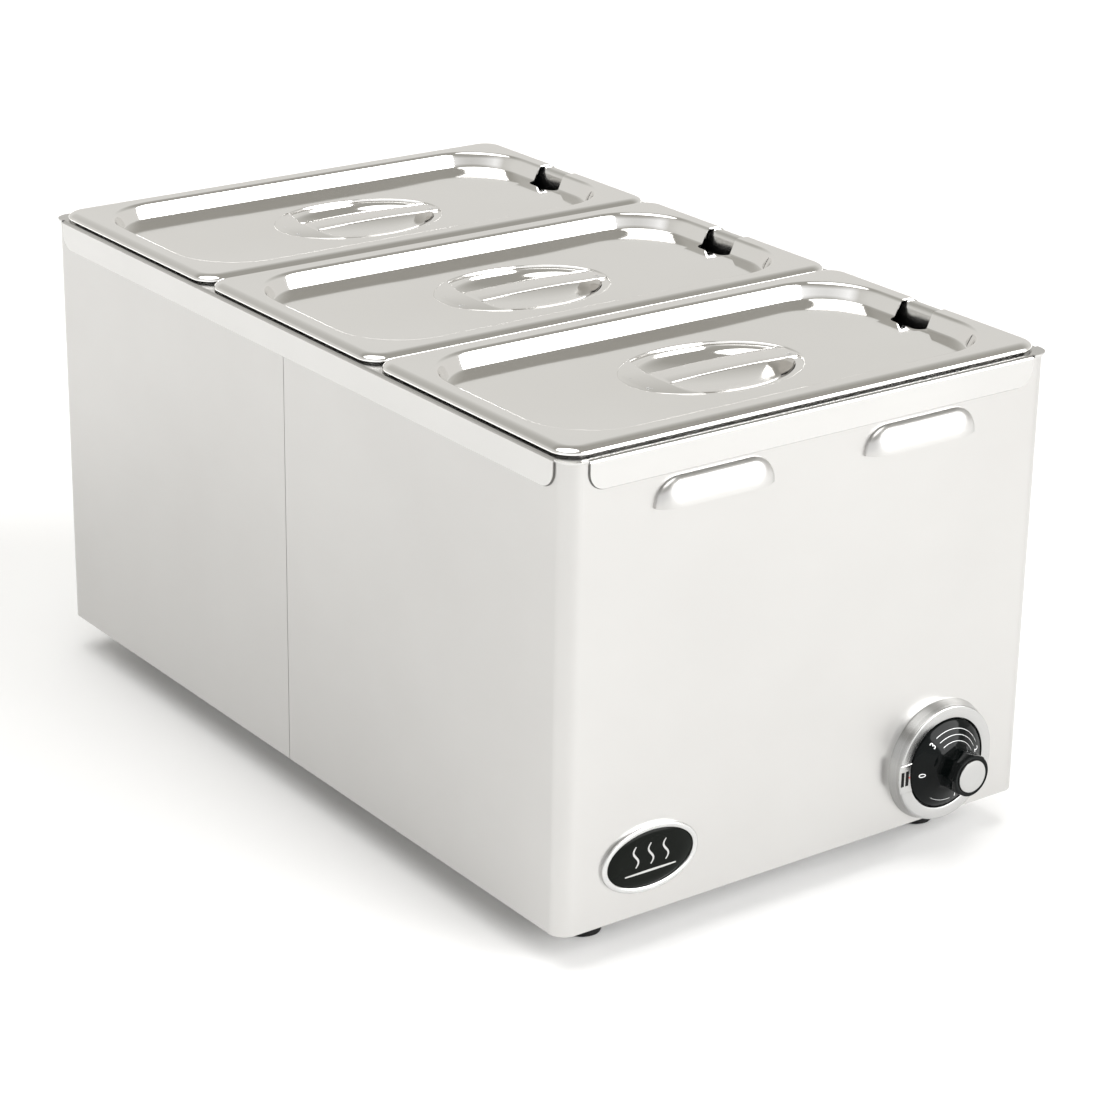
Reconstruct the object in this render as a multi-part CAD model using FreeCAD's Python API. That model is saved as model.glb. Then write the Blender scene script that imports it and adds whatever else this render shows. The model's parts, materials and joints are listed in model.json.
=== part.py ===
import FreeCAD, Part
import math
import os

# Electric buffet server for three 1/3-size gastronorm pans with lift-off lids.
# Units: mm. +Z up, -Y is the control end, origin on the bench under the middle of the case.

os.makedirs("parts", exist_ok=True)

# ---- driving dimensions ----
BODY_W = 328.0          # case width (X)
BODY_D = 537.0          # case length (Y)
BODY_R = 9.5            # vertical corner radius of the case
FOOT_H = 23.0           # feet lift the case this far off the bench
DECK_TOP = 288.4        # upper face of the deck
LID_TOP = 293.3         # upper face of the lids
SHEET = 1.0             # case, deck and liner sheet
THIN = 0.8              # pan and lid sheet
AIR = 0.3               # clearance between pieces that come apart
PITCH = 176.7           # pan to pan along Y

FLANGE_H = DECK_TOP - 271.7     # height of the deck's turned-down flanges
FLANGE_OUT = 1.2                # they stand this far outside the case
FLANGE_R = 9.5                  # lower corners of the flanges
FLANGE_HALF_X = 151.0           # front and rear flanges stop short of the corners
FLANGE_HALF_Y = 257.0

RIM_X, RIM_Y, RIM_R = 325.0, 176.0, 14.0    # outline of a lid
EDGE_SHOULDER_R, EDGE_LIP_R = 9.5, 2.3      # a lid's edge: a wide shoulder, then a tight lip
EDGE_TURN = math.radians(34)                # slope where the lip takes over from the shoulder
LID_LIP_UP, PAN_LIP_UP = 1.3, AIR           # lips of a lid and of a pan end this far above the deck

PAN_MOUTH, PAN_MOUTH_R = (155.0, 80.2), 41.2    # where a pan's rim starts to bend down, half sizes
PAN_DEPTH, PAN_DRAFT = 150.0, 6.0
PAN_BEND_R, PAN_FOOT_R = 4.0, 11.0
OPENING = (155.0, 80.0, 34.0)               # half sizes and corner radius of a deck opening

WELL_TOP = (151.0, 75.5)        # outline of the lid's sunk well, half sizes
WELL_R, WELL_DEPTH = 42.0, 9.5
WELL_LEAN = math.radians(65)    # slope of its walls
WELL_FOLD_R, WELL_ROOT_R = 3.0, 1.5
NOTCH_W, NOTCH_L, NOTCH_R = 27.0, 24.0, 6.0     # ladle notch in the +X end of a lid
RECESS = (57.0, 41.0, 1.2)      # oval recess in the well's floor: half axes and depth
DISH = (50.5, 35.5, 9.5)        # finger dish inside it: half axes and depth below the recess
STRAP_W, STRAP_T, STRAP_RISE = 18.0, 1.0, 1.2
STRAP_FAN = -37.0               # the strap's -X end widens from here to the recess outline

LOUVRE_X, LOUVRE_HALF, LOUVRE_H, LOUVRE_OUT = 70.5, 39.2, 15.5, 7.5
LOUVRE_Z = FOOT_H + 231.0

KNOB_X, KNOB_Z = 99.0, 59.0     # control axis on the front
BEZEL_R, BEZEL_FACE_R, BEZEL_H = 36.3, 34.4, 8.0
BEZEL_HOLE_R = 27.0
SHAFT_HOLE_R = 5.5              # hole for the shaft in the front, bezel and bracket
DIAL_R, DIAL_TOP_R = 26.3, 13.0
DIAL_BACK, CONE_TOP = 3.2, 14.0 # the dial's back and the top of its cone, from the case front
CAP_R = 9.6
KNOB_OUT = 30.0                 # cap face, measured from the case front
GRIP_R = 13.0
SHAFT_R, SHAFT_FIT = 3.0, 0.05
BRACKET_T, THERMOSTAT_L = 1.5, 30.0             # bracket sheet; length of the thermostat body
THERMOSTAT_HALF = (21.0, 17.0)
SCREW_R, SCREW_HOLE_R = 2.0, 2.2                # M4 screws

BADGE_X, BADGE_Z = -106.2, FOOT_H + 33.0
BADGE_HALF, BADGE_OUT = (32.0, 19.5), 2.4
BADGE_RIM = 3.4                 # width of the badge's raised rim
FOOT_R, FOOT_X, FOOT_Y = 11.4, 120.6, 230.0
FOOT_HEAD = (1.5, 4.5)          # the foot screw's head, sunk in the foot
FOOT_SCREW_R, FOOT_HEAD_R, SCREW_ROOM = 2.5, 4.6, 0.2
GLAND_X, GLAND_Z, CABLE_R = 99.0, 59.0, 4.2
GLAND_OUT = KNOB_OUT            # it stands out as far as the control does at the other end
GLAND_THREAD_R, GLAND_HEX_R, NUT_HEX_R = 8.0, 11.5, 12.0

LINER_FLOOR = 100.0             # underside of the liner
LINER_HALF = (157.0, 259.0)
ROD_R, ROD_Z = 4.0, 118.0       # heating element
ELEMENT_X, ELEMENT_END_Y = 105.0, 235.0     # its two ends, at +-ELEMENT_X
BULB_Y, BULB_Z = -60.0, 132.0
CUT_OUT = (-60.0, -90.0)
TERMINALS = (40.0, 225.0)
BEZEL_FLOOR = 1.5

HALF_W, HALF_D = BODY_W / 2, BODY_D / 2
FRONT = -HALF_D
BRACKET_Y = FRONT + SHEET
PAN_YS = {"front": -PITCH, "middle": 0.0, "rear": PITCH}
RECESS_FLOOR = LID_TOP - WELL_DEPTH - RECESS[2]
PAN_TOP = LID_TOP - THIN - AIR      # upper face of a pan's rim, just under the lid's border
X, Y, Z = (FreeCAD.Vector(1, 0, 0), FreeCAD.Vector(0, 1, 0), FreeCAD.Vector(0, 0, 1))


# ---- helpers ----
def vec(x, y, z):
    return FreeCAD.Vector(x, y, z)


def box(x, y, z):
    """Box from three (low, high) pairs."""
    return Part.makeBox(x[1] - x[0], y[1] - y[0], z[1] - z[0], vec(x[0], y[0], z[0]))


def cyl(r, h, base, direction=Z):
    return Part.makeCylinder(r, h, base, direction)


def tube(r_out, r_in, h, base, direction=Z):
    return cyl(r_out, h, base, direction).cut(cyl(r_in, h, base, direction))


def fuse(shapes):
    joined = shapes[0].multiFuse(shapes[1:]) if len(shapes) > 1 else shapes[0]
    return joined.removeSplitter()


def slab(half_x, half_y, r, z, centre_y=0.0):
    """Upright prism with a rounded-rectangle outline, from z[0] to z[1]."""
    block = box((-half_x, half_x), (centre_y - half_y, centre_y + half_y), z)
    edges = [e for e in block.Edges if abs(e.tangentAt(e.FirstParameter).z) > 0.99]
    return block.makeFillet(r, edges)


def mirror(shape, normal):
    return shape.mirror(vec(0, 0, 0), normal)


def polygon_face(points):
    """Flat face from points; a ('arc', through, end) entry draws an arc from the point before."""
    edges, last = [], points[0]
    for item in points[1:] + [points[0]]:
        if isinstance(item, tuple) and item[0] == "arc":
            edges.append(Part.Arc(last, item[1], item[2]).toShape())
            last = item[2]
        else:
            edges.append(Part.LineSegment(last, item).toShape())
            last = item
    return Part.Face(Part.Wire(edges))


def plug(profile, core_x, core_y):
    """Solid whose outline is a rounded rectangle at every height.

    profile(origin, outward) gives the closed face between the corner centre's vertical and the
    surface; it is turned about the four corner centres and pulled along the four sides.
    """
    heights = profile(vec(0, 0, 0), X).BoundBox
    pieces = [box((-core_x, core_x), (-core_y, core_y), (heights.ZMin, heights.ZMax))]
    for k, (sx, sy) in enumerate([(1, 1), (-1, 1), (-1, -1), (1, -1)]):
        corner = vec(sx * core_x, sy * core_y, 0)
        outward = [X, Y, X.negative(), Y.negative()][k]
        along = [vec(0, -2 * core_y, 0), vec(2 * core_x, 0, 0),
                 vec(0, 2 * core_y, 0), vec(-2 * core_x, 0, 0)][k]
        face = profile(corner, outward)
        pieces.append(face.revolve(corner, Z, 90))
        pieces.append(face.extrude(along))
    return fuse(pieces)


def pipe(points, r, bends):
    """Round tube or rod along straight runs joined by tangent arcs, one radius per corner."""
    edges, start = [], points[0]
    for before, corner, after, bend in zip(points, points[1:], points[2:], bends):
        into, out = (corner - before).normalize(), (after - corner).normalize()
        half_turn = into.getAngle(out) / 2
        reach = bend * math.tan(half_turn)
        first, last = corner - into * reach, corner + out * reach
        inner = (out - into).normalize()
        middle = corner + inner * (bend / math.cos(half_turn) - bend)
        if (first - start).Length > 0.01:
            edges.append(Part.LineSegment(start, first).toShape())
        edges.append(Part.Arc(first, middle, last).toShape())
        start = last
    edges.append(Part.LineSegment(start, points[-1]).toShape())
    path = Part.Wire(edges)
    section = Part.Wire(Part.makeCircle(r, points[0], points[1] - points[0]))
    return path.makePipeShell([section], True, False)


# ---- case ----
def case_wrap():
    """The control-end half of the case: front wall, two half sides and turned-in bottom edges."""
    z = (FOOT_H, DECK_TOP - SHEET - 0.6)
    outside = slab(HALF_W, HALF_D, BODY_R, z)
    inside = slab(HALF_W - SHEET, HALF_D - SHEET, BODY_R - SHEET, z)
    lip = slab(HALF_W - 12, HALF_D - 12, 3, (FOOT_H, FOOT_H + SHEET))
    wrap = outside.cut(inside)
    bottom = slab(HALF_W - SHEET, HALF_D - SHEET, BODY_R - SHEET, (FOOT_H, FOOT_H + SHEET))
    wrap = wrap.fuse(bottom.cut(lip))
    half = box((-HALF_W - 1, HALF_W + 1), (FRONT - 1, -0.2), (0, DECK_TOP))
    return wrap.common(half).removeSplitter()


def base_screw_places():
    """Screws through the turned-in edges: three per side and one at each end."""
    edge = 7.0
    places = [(sx * (HALF_W - edge), y) for sx in (-1, 1) for y in (-190.0, -60.0, 60.0, 190.0)]
    return places + [(0.0, -(HALF_D - edge)), (0.0, HALF_D - edge)]


def screw_holes(shape):
    for x, y in base_screw_places():
        shape = shape.cut(cyl(SCREW_HOLE_R, 4, vec(x, y, FOOT_H - 1)))
    return shape


def capsule(half, height, out, x):
    """Upper half of a flattened capsule lying on the front wall."""
    straight = half - height
    body = cyl(height, 2 * straight, vec(-straight, 0, 0), X)
    ends = [Part.makeSphere(height, vec(s * straight, 0, 0)) for s in (-1, 1)]
    upper = fuse([body] + ends).common(box((-half, half), (-height, height), (0, height)))
    squash = FreeCAD.Matrix()
    squash.scale(1, out / height, 1)
    upper = upper.transformGeometry(squash)
    upper.translate(vec(x, FRONT, LOUVRE_Z))
    return upper


def front_case():
    wrap = case_wrap()
    outer_side = box((-HALF_W, HALF_W), (FRONT - 20, FRONT + SHEET / 2), (0, LID_TOP))
    for x in (-LOUVRE_X, LOUVRE_X):
        wrap = wrap.fuse(capsule(LOUVRE_HALF, LOUVRE_H, LOUVRE_OUT, x).common(outer_side))
    for x in (-LOUVRE_X, LOUVRE_X):
        wrap = wrap.cut(capsule(LOUVRE_HALF - SHEET, LOUVRE_H - SHEET, LOUVRE_OUT - SHEET, x))
    wrap = wrap.cut(cyl(SHAFT_HOLE_R, 4, vec(KNOB_X, FRONT - 1, KNOB_Z), Y))
    for x in thermostat_screw_xs():
        wrap = wrap.cut(cyl(SCREW_HOLE_R, 4, vec(x, FRONT - 1, KNOB_Z), Y))
    return screw_holes(wrap)


def rear_case():
    wrap = mirror(case_wrap(), Y)
    wrap = wrap.cut(cyl(GLAND_THREAD_R + SCREW_ROOM, 4, vec(GLAND_X, HALF_D - 2, GLAND_Z), Y))
    return screw_holes(wrap)


def seam_strip(side):
    """Backing strip spot-welded behind the joint of the two wraps."""
    inner = HALF_W - SHEET
    x = sorted((side * (inner - 1.0), side * inner))
    return box(x, (-12, 12), (FOOT_H + 3, DECK_TOP - SHEET - 12))


# ---- deck ----
def flange(half_length):
    """Turned-down flange with a bent top edge, on the -Y side of the origin, top face at z = 0."""
    r_out, r_in = 2.0, 1.0
    lean = math.sqrt(0.5)
    outer = [vec(-half_length, 0, 0), vec(-half_length, -r_out, -r_out)]
    mid_out = vec(-half_length, -r_out * lean, -r_out + r_out * lean)
    mid_in = vec(-half_length, -r_in * lean, -r_out + r_in * lean)
    leg = FLANGE_H
    face = polygon_face([
        outer[0],
        ("arc", mid_out, outer[1]),
        vec(-half_length, -r_out, -leg),
        vec(-half_length, -r_in, -leg),
        vec(-half_length, -r_in, -r_out),
        ("arc", mid_in, vec(-half_length, 0, -r_in)),
    ])
    solid = face.extrude(vec(2 * half_length, 0, 0))
    low = [e for e in solid.Edges if abs(e.CenterOfMass.z + leg) < 0.01
           and abs(abs(e.CenterOfMass.x) - half_length) < 0.01]
    return solid.makeFillet(FLANGE_R, low)


def top_deck():
    edge_x, edge_y = HALF_W + FLANGE_OUT, HALF_D + FLANGE_OUT
    plate = slab(edge_x, edge_y, BODY_R, (DECK_TOP - SHEET, DECK_TOP))
    bend, relief = 2.0, 1.0
    z = (DECK_TOP - 5, DECK_TOP + 5)
    flanges = []
    for turn, reach, half in ((0, edge_y, FLANGE_HALF_X), (90, edge_x, FLANGE_HALF_Y)):
        for flip in (0, 180):
            cutter = box((-half - relief, half + relief), (-reach - 5, -reach + bend), z)
            lip = flange(half)
            lip.translate(vec(0, -reach + bend, DECK_TOP))
            for shape in (cutter, lip):
                shape.rotate(vec(0, 0, 0), Z, turn + flip)
            plate = plate.cut(cutter)
            flanges.append(lip)
    for y in PAN_YS.values():
        plate = plate.cut(slab(*OPENING, z, y))
    return fuse([plate] + flanges)


# ---- inside ----
def inner_liner():
    hx, hy = LINER_HALF
    top = DECK_TOP - SHEET
    shell = slab(hx, hy, 6, (LINER_FLOOR, top)).cut(
        slab(hx - SHEET, hy - SHEET, 5, (LINER_FLOOR + SHEET, top)))
    for x in (-ELEMENT_X, ELEMENT_X):
        shell = shell.cut(cyl(6.1, 4, vec(x, ELEMENT_END_Y, LINER_FLOOR - 1)))
    return shell.cut(cyl(2.0, 4, vec(0, -hy - 1, BULB_Z), Y))


def base_plate():
    gap = 0.3
    z = (FOOT_H + SHEET, FOOT_H + 2 * SHEET)
    plate = slab(HALF_W - SHEET - gap, HALF_D - SHEET - gap, BODY_R - SHEET - gap, z)
    for sx in (-1, 1):
        for sy in (-1, 1):
            plate = plate.cut(cyl(3.2, 4, vec(sx * FOOT_X, sy * FOOT_Y, FOOT_H)))
    return screw_holes(plate)


def base_screws():
    """Pan-head screws from below with their nuts on the base plate."""
    screws = []
    for x, y in base_screw_places():
        head = cyl(3.6, 1.8, vec(x, y, FOOT_H - 1.8))
        shank = cyl(SCREW_R, 8.0, vec(x, y, FOOT_H))
        nut = cyl(3.5, 3.0, vec(x, y, FOOT_H + 2 * SHEET))
        screws.append(fuse([head.makeFillet(0.7, [head.Edges[2]]), shank, nut]))
    return Part.makeCompound(screws)


def insulation_sides():
    gap = 0.4
    x = (LINER_HALF[0] + gap, HALF_W - 2 * SHEET - gap)
    z = (LINER_FLOOR + 2, DECK_TOP - 8)
    panels = [box(sorted((s * x[0], s * x[1])), (-250, 250), z) for s in (-1, 1)]
    return Part.makeCompound(panels)


def insulation_floor():
    blanket = box((-150, 150), (-215, 215), (LINER_FLOOR - 12, LINER_FLOOR))
    return blanket.cut(cyl(10, 14, vec(CUT_OUT[0], CUT_OUT[1], LINER_FLOOR - 13)))


def heating_element():
    """Four legs along Y joined by half turns, both ends turned down through the liner floor."""
    far, near, middle = ELEMENT_END_Y, -225.0, ELEMENT_END_Y - 45
    outer, inner = ELEMENT_X, ELEMENT_X / 3
    low = LINER_FLOOR - 14
    end_bend, turn = 12.0, inner - 0.1
    half = [vec(outer, far, low), vec(outer, far, ROD_Z), vec(outer, near, ROD_Z),
            vec(inner, near, ROD_Z), vec(inner, middle, ROD_Z)]
    other = [vec(-p.x, p.y, p.z) for p in reversed(half)]
    return pipe(half + other, ROD_R, [end_bend] + [turn] * 6 + [end_bend])


def element_rails():
    """Three U rails on the liner floor that carry the element's legs."""
    rails = []
    base = LINER_FLOOR + SHEET
    top = ROD_Z - ROD_R
    for y in (-150.0, 0.0, 150.0):
        rail = box((-140, 140), (y - 8, y + 8), (base, top))
        rails.append(rail.cut(box((-139, 139), (y - 8, y + 8), (base + 1, top - 1))))
    return Part.makeCompound(rails)


def element_glands():
    glands = []
    for x in (-ELEMENT_X, ELEMENT_X):
        at = vec(x, ELEMENT_END_Y, 0)
        body = fuse([cyl(6.0, 14, at + vec(0, 0, LINER_FLOOR - 9)),
                     cyl(9.0, 2.5, at + vec(0, 0, LINER_FLOOR + SHEET)),
                     cyl(8.5, 4.0, at + vec(0, 0, LINER_FLOOR - 4))])
        glands.append(body.cut(cyl(ROD_R, 30, at + vec(0, 0, LINER_FLOOR - 12))))
    return Part.makeCompound(glands)


def thermostat_screw_xs():
    return (KNOB_X - 14.0, KNOB_X + 14.0)


def thermostat_bracket():
    plate = box((KNOB_X - 24, KNOB_X + 24), (BRACKET_Y, BRACKET_Y + BRACKET_T),
                (KNOB_Z - 20, KNOB_Z + 20))
    plate = plate.cut(cyl(SHAFT_HOLE_R, 4, vec(KNOB_X, BRACKET_Y - 1, KNOB_Z), Y))
    for x in thermostat_screw_xs():
        plate = plate.cut(cyl(SCREW_HOLE_R, 4, vec(x, BRACKET_Y - 1, KNOB_Z), Y))
    return plate


def thermostat_body():
    front = BRACKET_Y + BRACKET_T
    back = front + THERMOSTAT_L
    half_x, half_z = THERMOSTAT_HALF
    block = box((KNOB_X - half_x, KNOB_X + half_x), (front, back), (KNOB_Z - half_z, KNOB_Z + half_z))
    block = block.makeFillet(2.0, [e for e in block.Edges
                                   if abs(e.tangentAt(e.FirstParameter).y) > 0.99])
    tabs = [box((KNOB_X + dx - 3, KNOB_X + dx + 3), (back, back + 8),
                (KNOB_Z - 0.4, KNOB_Z + 0.4)) for dx in (-10.0, 10.0)]
    block = fuse([block] + tabs)
    for x in thermostat_screw_xs():
        block = block.cut(cyl(SCREW_R + SHAFT_FIT, 9, vec(x, front - 1, KNOB_Z), Y))
    return block.cut(cyl(SHAFT_R + SHAFT_FIT, 13, vec(KNOB_X, front - 1, KNOB_Z), Y))


def thermostat_screws():
    screws = []
    for x in thermostat_screw_xs():
        shank = cyl(SCREW_R, BEZEL_FLOOR + SHEET + BRACKET_T + 6, vec(x, FRONT - BEZEL_FLOOR, KNOB_Z), Y)
        head = cyl(3.4, 1.2, vec(x, FRONT - BEZEL_FLOOR - 1.2, KNOB_Z), Y)
        screws.append(fuse([shank, head]))
    return Part.makeCompound(screws)


def thermostat_bulb():
    return cyl(3.0, 90, vec(0, BULB_Y, BULB_Z), Y)


def thermostat_capillary():
    """Thin tube from the bulb, out through the liner's front wall and down to the thermostat."""
    gap_y = -LINER_HALF[1] - 4.5
    side_z = KNOB_Z + 8
    return pipe([vec(0, BULB_Y, BULB_Z), vec(0, gap_y, BULB_Z), vec(0, gap_y, 90),
                 vec(30, gap_y + 6, side_z), vec(55, -252, side_z),
                 vec(KNOB_X - THERMOSTAT_HALF[0], -252, side_z)],
                0.9, [4.0, 8.0, 8.0, 8.0])


def cut_out():
    x, y = CUT_OUT
    cap = cyl(8, 5, vec(x, y, LINER_FLOOR - 5))
    base = cyl(7, 6, vec(x, y, LINER_FLOOR - 11))
    tabs = [box((x + d - 3, x + d + 3), (y - 0.4, y + 0.4), (LINER_FLOOR - 19, LINER_FLOOR - 11))
            for d in (-4.0, 4.0)]
    return fuse([cap, base] + tabs)


def terminal_block():
    x, y = TERMINALS
    floor = FOOT_H + 2 * SHEET
    body = box((x - 24, x + 24), (y - 11, y + 11), (floor, floor + 14))
    towers = [box((x + d - 6.5, x + d + 6.5), (y - 5, y + 5), (floor + 14, floor + 19))
              for d in (-16.0, 0.0, 16.0)]
    block = fuse([body] + towers)
    for d in (-16.0, 0.0, 16.0):
        block = block.cut(cyl(2.4, 6, vec(x + d, y, floor + 14)))
    return block


def earth_stud():
    x, y = 100.0, 205.0
    floor = FOOT_H + 2 * SHEET
    stud = fuse([cyl(2.5, 16, vec(x, y, floor)), cyl(5, 1, vec(x, y, floor)),
                 cyl(4.6, 4, vec(x, y, floor + 5))])
    return stud


def internal_wiring():
    """Leads from the terminal block to the element, the thermostat and the cut-out."""
    floor = FOOT_H + 2 * SHEET
    bx, by = TERMINALS
    start = floor + 15
    end_z = LINER_FLOOR - 14
    runs = [
        [vec(bx + 16, by, start), vec(bx + 16, by, 62), vec(ELEMENT_X, ELEMENT_END_Y, 62),
         vec(ELEMENT_X, ELEMENT_END_Y, end_z)],
        [vec(bx - 16, by, start), vec(bx - 16, by, 66), vec(-ELEMENT_X, ELEMENT_END_Y, 66),
         vec(-ELEMENT_X, ELEMENT_END_Y, end_z)],
        [vec(bx, by, start), vec(bx, by, 50), vec(bx, -140, 50), vec(KNOB_X - 10, -200, KNOB_Z),
         vec(KNOB_X - 10, BRACKET_Y + 39.5, KNOB_Z)],
        [vec(KNOB_X + 10, BRACKET_Y + 39.5, KNOB_Z), vec(KNOB_X + 10, -190, KNOB_Z),
         vec(CUT_OUT[0] + 4, CUT_OUT[1], 60), vec(CUT_OUT[0] + 4, CUT_OUT[1], LINER_FLOOR - 19)],
    ]
    return Part.makeCompound([pipe(points, 1.3, [8.0] * 3) for points in runs])


# ---- controls ----
def control_bezel():
    at = vec(KNOB_X, FRONT, KNOB_Z)
    out = Y.negative()
    rim = Part.makeCone(BEZEL_R, BEZEL_FACE_R, BEZEL_H, at, out)
    rim = rim.makeFillet(1.2, [e for e in rim.Edges if abs(e.CenterOfMass.y - (FRONT - BEZEL_H)) < 0.01
                               and e.Length > 20])
    rim = rim.cut(cyl(BEZEL_HOLE_R, BEZEL_H, at + out * BEZEL_FLOOR, out))
    rim = rim.cut(cyl(SHAFT_HOLE_R, 6, at + vec(0, 1, 0), out))
    for x in thermostat_screw_xs():
        rim = rim.cut(cyl(SCREW_HOLE_R, 6, vec(x, FRONT + 1, KNOB_Z), out))
    return rim


def control_knob():
    at = vec(KNOB_X, FRONT, KNOB_Z)
    out = Y.negative()
    grip_face = KNOB_OUT - 1.0
    skirt = cyl(DIAL_R, BEZEL_H - DIAL_BACK, at + out * DIAL_BACK, out)
    cone = Part.makeCone(DIAL_R, DIAL_TOP_R, CONE_TOP - BEZEL_H, at + out * BEZEL_H, out)
    grip_back = BEZEL_H + 1.0
    corners = [vec(KNOB_X + GRIP_R * math.cos(math.radians(22.5 + 45 * k)), FRONT - grip_back,
                   KNOB_Z + GRIP_R * math.sin(math.radians(22.5 + 45 * k))) for k in range(8)]
    grip = polygon_face(corners).extrude(out * (grip_face - grip_back))
    grip = grip.makeFillet(1.0, [e for e in grip.Edges
                                 if abs(e.CenterOfMass.y - (FRONT - grip_face)) < 0.01])
    knob = fuse([skirt, cone, grip])
    knob = knob.cut(cyl(CAP_R, 1.0, at + out * (grip_face - 0.6), out))
    return knob.cut(cyl(SHAFT_R, 22, at + out * (DIAL_BACK - 1), out))


def knob_cap():
    at = vec(KNOB_X, FRONT - (KNOB_OUT - 1.6), KNOB_Z)
    disc = cyl(CAP_R, 1.6, at, Y.negative())
    face_edges = [e for e in disc.Edges if abs(e.CenterOfMass.y - (FRONT - KNOB_OUT)) < 0.01]
    return disc.makeFillet(0.5, face_edges)


def thermostat_shaft():
    inner = BRACKET_Y + BRACKET_T + 10
    return cyl(SHAFT_R, inner - (FRONT - 24.2), vec(KNOB_X, inner, KNOB_Z), Y.negative())


def ellipse_prism(half_x, half_z, depth, at):
    face = Part.Face(Part.Wire(Part.Ellipse(at + X * half_x, at + Z * half_z, at).toShape()))
    return face.extrude(Y.negative() * depth)


def badge_rim():
    at = vec(BADGE_X, FRONT, BADGE_Z)
    hx, hz = BADGE_HALF
    rim = ellipse_prism(hx, hz, BADGE_OUT, at)
    rim = rim.makeFillet(0.9, [e for e in rim.Edges if abs(e.CenterOfMass.y - (FRONT - BADGE_OUT)) < 0.01])
    return rim.cut(ellipse_prism(hx - BADGE_RIM, hz - BADGE_RIM, 3.0, at + vec(0, -0.8, 0)))


def badge_plate():
    hx, hz = BADGE_HALF
    return ellipse_prism(hx - BADGE_RIM, hz - BADGE_RIM, 1.0, vec(BADGE_X, FRONT - 0.8, BADGE_Z))


# ---- feet, gland ----
def foot(sx, sy):
    at = vec(sx * FOOT_X, sy * FOOT_Y, 0)
    body = Part.makeCone(FOOT_R - 0.6, FOOT_R, FOOT_H, at)
    body = body.makeFillet(1.2, [body.Edges[2]])
    body = body.cut(cyl(FOOT_HEAD_R + SCREW_ROOM, FOOT_HEAD[1], at))
    return body.cut(cyl(FOOT_SCREW_R + SCREW_ROOM / 2, FOOT_H + 2, at))


def foot_screws():
    screws = []
    for sx in (-1, 1):
        for sy in (-1, 1):
            at = vec(sx * FOOT_X, sy * FOOT_Y, 0)
            low = at + vec(0, 0, FOOT_HEAD[0])
            head = cyl(FOOT_HEAD_R, FOOT_HEAD[1] - FOOT_HEAD[0], low)
            shank = cyl(FOOT_SCREW_R, FOOT_H + 9 - FOOT_HEAD[0], low)
            nut = cyl(4.2, 4.0, at + vec(0, 0, FOOT_H + 2 * SHEET))
            screws.append(fuse([head, shank, nut]))
    return Part.makeCompound(screws)


def hexagon_face(r, at):
    """Hexagon of circumradius r in the plane across Y."""
    corners = [math.radians(60 * k) for k in range(6)]
    return polygon_face([at + vec(r * math.cos(t), 0, r * math.sin(t)) for t in corners])


def cable_gland():
    at = vec(GLAND_X, HALF_D, GLAND_Z)
    thread = cyl(GLAND_THREAD_R, 10, at - vec(0, 9, 0), Y)
    body = hexagon_face(GLAND_HEX_R, at).extrude(Y * 6)
    neck = cyl(9.0, 6, at + Y * 6, Y)
    dome = Part.makeCone(10.4, 7.0, GLAND_OUT - 12, at + Y * 12, Y)
    gland = fuse([thread, body, neck, dome])
    return gland.cut(cyl(CABLE_R, GLAND_OUT + 12, at - Y * 10, Y))


def gland_nut():
    at = vec(GLAND_X, HALF_D - SHEET, GLAND_Z)
    nut = hexagon_face(NUT_HEX_R, at).extrude(Y.negative() * 5)
    return nut.cut(cyl(GLAND_THREAD_R, 7, at + Y, Y.negative()))


# ---- pans and lids ----
def edge_profile(inset, low):
    """Half section of the edge of a lid or a pan, down to the height low.

    inset 0 is the lid's seen face; the lid's underside and the pan's two faces are offset from it.
    """
    run = EDGE_SHOULDER_R * math.sin(EDGE_TURN) + EDGE_LIP_R * (1 - math.sin(EDGE_TURN))
    shoulder_c = (RIM_R - run, LID_TOP - EDGE_SHOULDER_R)
    lip_c = (RIM_R - EDGE_LIP_R, shoulder_c[1] + (EDGE_SHOULDER_R - EDGE_LIP_R) * math.cos(EDGE_TURN))
    shoulder_r, lip_r = EDGE_SHOULDER_R - inset, EDGE_LIP_R - inset

    def face(origin, outward):
        def on(centre, r, slope):
            across, up = centre[0] + r * math.sin(slope), centre[1] + r * math.cos(slope)
            return origin + outward * across + Z * up
        half_turn, quarter = EDGE_TURN / 2, math.pi / 2
        return polygon_face([
            origin + Z * low, origin + Z * (LID_TOP - inset), on(shoulder_c, shoulder_r, 0),
            ("arc", on(shoulder_c, shoulder_r, half_turn), on(shoulder_c, shoulder_r, EDGE_TURN)),
            ("arc", on(lip_c, lip_r, (EDGE_TURN + quarter) / 2), on(lip_c, lip_r, quarter)),
            origin + outward * (RIM_R - inset) + Z * low])
    return face


def rimmed_sheet(inset, low):
    """Flat sheet with the rolled edge all round, as a lid and a pan both have."""
    core = (RIM_X / 2 - RIM_R, RIM_Y / 2 - RIM_R)
    outside = plug(edge_profile(inset, low), *core)
    return outside.cut(plug(edge_profile(inset + THIN, low - 5), *core))


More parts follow.
